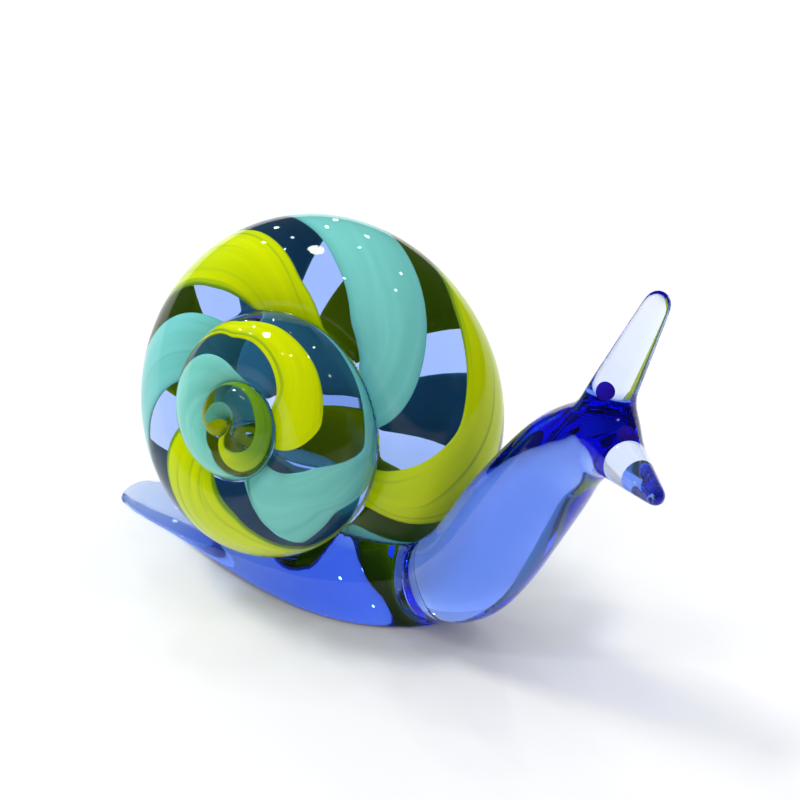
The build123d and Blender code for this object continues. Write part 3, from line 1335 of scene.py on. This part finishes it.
@dataclass
class Studio:
    """A white floor under soft lamps, seen by a long lens."""

    azimuth: float = radians(39.5)
    elevation: float = radians(31.0)
    frame_width: float = 68.0 * MM
    aim_right: float = 7.02 * MM
    aim_up: float = 14.35 * MM
    lens: float = 500.0
    sensor: float = 36.0
    clip_factor: float = 10.0
    floor_drop: float = 0.03 * MM
    floor_radius: float = 3.0
    floor_sides: int = 64
    floor_tone: Colour = (0.92, 0.92, 0.92)
    room_left: Colour = (1.0, 1.0, 1.02)
    room_right: Colour = (0.58, 0.58, 0.62)
    room_span: Span = (-0.6, 0.8)
    mirror_dimming: float = 0.88
    bounce_dimming: float = 0.3
    backdrop: Colour = (0.93, 0.94, 0.96)
    lamp_distance: float = 1.0
    lamp_radius: float = 0.012
    lamp_radiance: float = 260.0
    softbox_size: Span = (0.24, 0.12)
    softbox_bearing: Span = (190.0, 62.0)
    softbox_radiance: float = 40.0
    lamp_bearings: Table = (
        (151, 24), (167, 46), (195, 49), (176, 37), (135, 33), (128, 9), (118, 34),
        (125, 61), (252, 60), (79, 62), (8, 78), (268, 68), (22, 53),
    )
    glass_bounces: int = 48
    straight_bounces: int = 32

    def directions(self) -> tuple[Vector, Vector, Vector]:
        """The view's right, up and backward directions.

        Returns:
            Three unit vectors.
        """
        turn, rise = self.azimuth, self.elevation
        back = Vector((sin(turn) * cos(rise), -cos(turn) * cos(rise), sin(rise)))
        right = Vector((cos(turn), sin(turn), 0))
        return right, back.cross(right), back

    def camera(self) -> None:
        """Makes the camera."""
        right, up, back = self.directions()
        data = bpy.data.cameras.new("camera")
        data.lens = self.lens
        data.sensor_width = self.sensor
        distance = self.frame_width * self.lens / self.sensor
        data.clip_start = distance / self.clip_factor
        data.clip_end = distance * self.clip_factor
        made = bpy.data.objects.new("camera", data)
        place = right * self.aim_right + up * self.aim_up + back * distance
        made.matrix_world = Matrix.Translation(place) @ Matrix((right, up, back)).transposed().to_4x4()
        bpy.context.scene.collection.objects.link(made)
        bpy.context.scene.camera = made

    def lamp(self, name: str, bearing: Span, size: Span, radiance: float) -> None:
        """Makes one lamp that faces the snail.

        Args:
            name: The lamp's name.
            bearing: Its azimuth and elevation, in degrees.
            size: Its width and height.
            radiance: How bright its face is, where a white floor in full light is about 1.
        """
        data = bpy.data.lights.new(name, "AREA")
        data.shape = "ELLIPSE"
        data.size, data.size_y = size
        data.energy = radiance * pi * (pi * size[0] * size[1] / 4)
        made = bpy.data.objects.new(name, data)
        turn, rise = map(radians, bearing)
        away = Vector((cos(turn) * cos(rise), sin(turn) * cos(rise), sin(rise)))
        made.matrix_world = (
            Matrix.Translation(away * self.lamp_distance) @ away.to_track_quat("Z", "Y").to_matrix().to_4x4())
        made.visible_camera = False
        bpy.context.scene.collection.objects.link(made)

    def world(self) -> None:
        """Makes the pale room round the lamps, which is darker to the view's right."""
        made = bpy.data.worlds.new("room")
        bpy.context.scene.world = made
        sheet = cleared(made)
        way = sheet.add("ShaderNodeTexCoord").outputs["Generated"]
        right, _, _ = self.directions()
        side = sheet.add("ShaderNodeVectorMath", {0: way, 1: right}, operation="DOT_PRODUCT").outputs["Value"]
        tone = sheet.tinted(sheet.ranged(side, self.room_span), self.room_left, self.room_right)
        path = sheet.add("ShaderNodeLightPath").outputs
        bounced = path["Is Diffuse Ray"]
        mirrored = sheet.math("SUBTRACT", path["Is Reflection Ray"], bounced, clamp=True)
        dimming = sheet.plus(
            sheet.times(mirrored, self.mirror_dimming), sheet.times(bounced, self.bounce_dimming))
        room = sheet.add("ShaderNodeBackground", {"Color": tone, "Strength": sheet.minus(1.0, dimming)})
        backdrop = sheet.add("ShaderNodeBackground", {"Color": self.backdrop})
        seen = sheet.either(path["Is Camera Ray"], room.outputs[0], backdrop.outputs[0])
        sheet.add("ShaderNodeOutputWorld", {"Surface": seen})

    def floor(self) -> None:
        """Makes the floor."""
        turns = np.linspace(0, tau, self.floor_sides, endpoint=False)
        rim = np.stack((np.cos(turns), np.sin(turns), np.zeros_like(turns)), axis=1) * self.floor_radius
        made = new_mesh_object("floor", rim - np.array((0, 0, self.floor_drop)), [list(range(len(rim)))])
        finish = bpy.data.materials.new("white_floor")
        sheet = cleared(finish)
        surface = sheet.add("ShaderNodeBsdfDiffuse", {"Color": self.floor_tone})
        sheet.add("ShaderNodeOutputMaterial", {"Surface": surface.outputs[0]})
        made.data.materials.append(finish)

    def build(self) -> None:
        """Builds the floor, the lamps and the camera."""
        self.floor()
        self.world()
        lamp_size = (self.lamp_radius * 2, self.lamp_radius * 2)
        for number, bearing in enumerate(self.lamp_bearings):
            self.lamp(f"spot_{number}", bearing, lamp_size, self.lamp_radiance)
        self.lamp("softbox", self.softbox_bearing, self.softbox_size, self.softbox_radiance)
        self.camera()
        scene = bpy.context.scene
        scene.view_settings.view_transform = "Standard"
        scene.cycles.transparent_max_bounces = self.straight_bounces
        scene.cycles.transmission_bounces = self.glass_bounces
        scene.cycles.glossy_bounces = self.glass_bounces
        scene.cycles.max_bounces = self.glass_bounces


@dataclass
class Eyes:
    """The dark drops at the roots of the tentacles, drawn a little into the glass."""

    diameter: float = 1.6 * MM
    left_shift: Direction = (-0.36 * MM, -0.28 * MM, -0.05 * MM)
    right_shift: Direction = (-0.75 * MM, 0.15 * MM, -0.25 * MM)

    def build(self, finish: bpy.types.Material) -> list[bpy.types.Object]:
        """Builds both drops.

        Args:
            finish: Their glass.

        Returns:
            The finished pieces.
        """
        pieces = []
        for node, shift in (("left_eye", self.left_shift), ("right_eye", self.right_shift)):
            made = copy_of_nodes(node + "_drop", node)
            points = vertices_of(made.data) + np.array(shift)
            made.data.vertices.foreach_set("co", points.ravel())
            for key, places in zip(("along", "across"), (points - points.mean(axis=0)).T):
                values = made.data.attributes.new(key, "FLOAT", "POINT").data
                values.foreach_set("value", places / self.diameter)
            face_outwards(made)
            made.data.materials.append(finish)
            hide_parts(node)
            pieces.append(made)
        return pieces


# Pulls on the ribbons' edges, listed as turns from the mouth, then degrees round the rod.
LIME_START = (
    (0.058, 35), (0.09, -50), (0.20, -30), (0.33, 0), (0.38, 20), (0.44, 12), (0.60, 0), (0.73, -5),
    (0.95, -10), (1.10, -30), (1.16, -40), (1.20, -25), (1.25, -5), (1.35, 45), (1.42, 90), (1.60, 90),
    (1.85, 110), (1.90, 85), (1.94, 30), (1.98, 25), (2.10, 60), (2.30, 85), (2.80, 110),
)
LIME_END = (
    (0.05, 5), (0.12, -5), (0.16, -27), (0.20, -12), (0.25, 8), (0.45, 8), (0.50, 20), (0.60, 10),
    (0.83, 0), (0.90, 30), (0.925, 20), (0.94, -10), (0.955, -45), (1.00, -45), (1.12, -40), (1.20, -27),
    (1.26, -31), (1.33, -9), (1.38, 7), (1.43, 30), (1.46, 25), (1.60, 45), (1.85, 90), (1.93, 5),
    (2.05, 15), (2.20, 60), (2.80, 100),
)
MINT_START = (
    (0.05, 0), (0.18, -5), (0.30, 0), (0.50, -10), (0.56, -8), (0.80, 0), (0.93, 12), (0.945, 10),
    (0.958, -85), (1.00, -53), (1.03, -30), (1.05, -75), (1.08, -90), (1.12, -100), (1.20, -85),
    (1.30, -30), (1.43, 12), (1.54, 12), (1.90, 80), (1.96, 20), (2.10, 60), (2.60, 140), (2.80, 140),
)
MINT_END = (
    (-0.10, 0), (0.00, 30), (0.02, 56), (0.035, 49), (0.045, 20), (0.06, -10), (0.20, -10), (0.255, -15),
    (0.30, 15), (0.35, 22), (0.40, 20), (0.50, 0), (0.65, -8), (1.00, -15), (1.07, -12), (1.095, -20),
    (1.112, -105), (1.20, -60), (1.28, -15), (1.40, 0), (1.60, 60), (1.85, 125), (1.88, 100), (1.93, 30),
    (2.00, 60), (2.80, 150),
)


def main() -> None:
    """Builds the snail and its studio."""
    logging.basicConfig(level=logging.INFO, format="%(name)s: %(message)s")
    coil = Coil()
    blue = (0.03, 0.36, 0.97)
    navy = (0.02, 0.008, 0.36)
    cobalt = ClearGlass("cobalt", blue, 200.0, shadow=(0.91, 0.82, 0.68), deep_shadow=(0.55, 0.45, 0.40))
    clear = ClearGlass("clear", blue, 75.0)
    pale_blue = ClearGlass("pale_blue", blue, 84.0)
    # The inner colours are painted shade on the ribbons' backs, and the thinned colours also serve as painted
    # shade at the ribbons' edges.
    lime = StreakedGlass(
        "lime", light=(0.80, 0.90, 0.0), dark=(0.68, 0.80, 0.0), inner_shade=(0.45, 0.50, 0.0),
        thinned_and_shaded=(0.08, 0.28, 0.02), streak=0.8)
    mint = StreakedGlass(
        "mint", light=(0.26, 0.76, 0.61), dark=(0.20, 0.66, 0.52), inner_shade=(0.08, 0.32, 0.34),
        thinned_and_shaded=(0.07, 0.30, 0.19), streak=0.15)
    eye = StreakedGlass("eye", light=navy, dark=(0.01, 0.005, 0.26), inner_shade=navy, thinned_and_shaded=navy, streak=0.0)
    shell = Shell(coil)
    ribbons = (
        (Ribbon(coil, "lime_ribbon", Slot.LIME, radians(143.5), radians(112.0), LIME_START, LIME_END), lime),
        (Ribbon(coil, "mint_ribbon", Slot.MINT, radians(329.0), radians(109.0), MINT_START, MINT_END), mint),
    )
    shell_skin = shell.build(pale_blue.material())
    made = [shell_skin, *Body(shell).build(cobalt.material(), clear.material(), shell_skin)]
    for ribbon, finish in ribbons:
        piece = ribbon.build(finish.material())
        made.append(piece)
    made.extend(Eyes().build(eye.material()))
    for piece in made:
        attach(piece, "root")
        log.info("%s has %d faces", piece.name, len(piece.data.polygons))
    Studio().build()


if __name__ == "__main__":
    main()
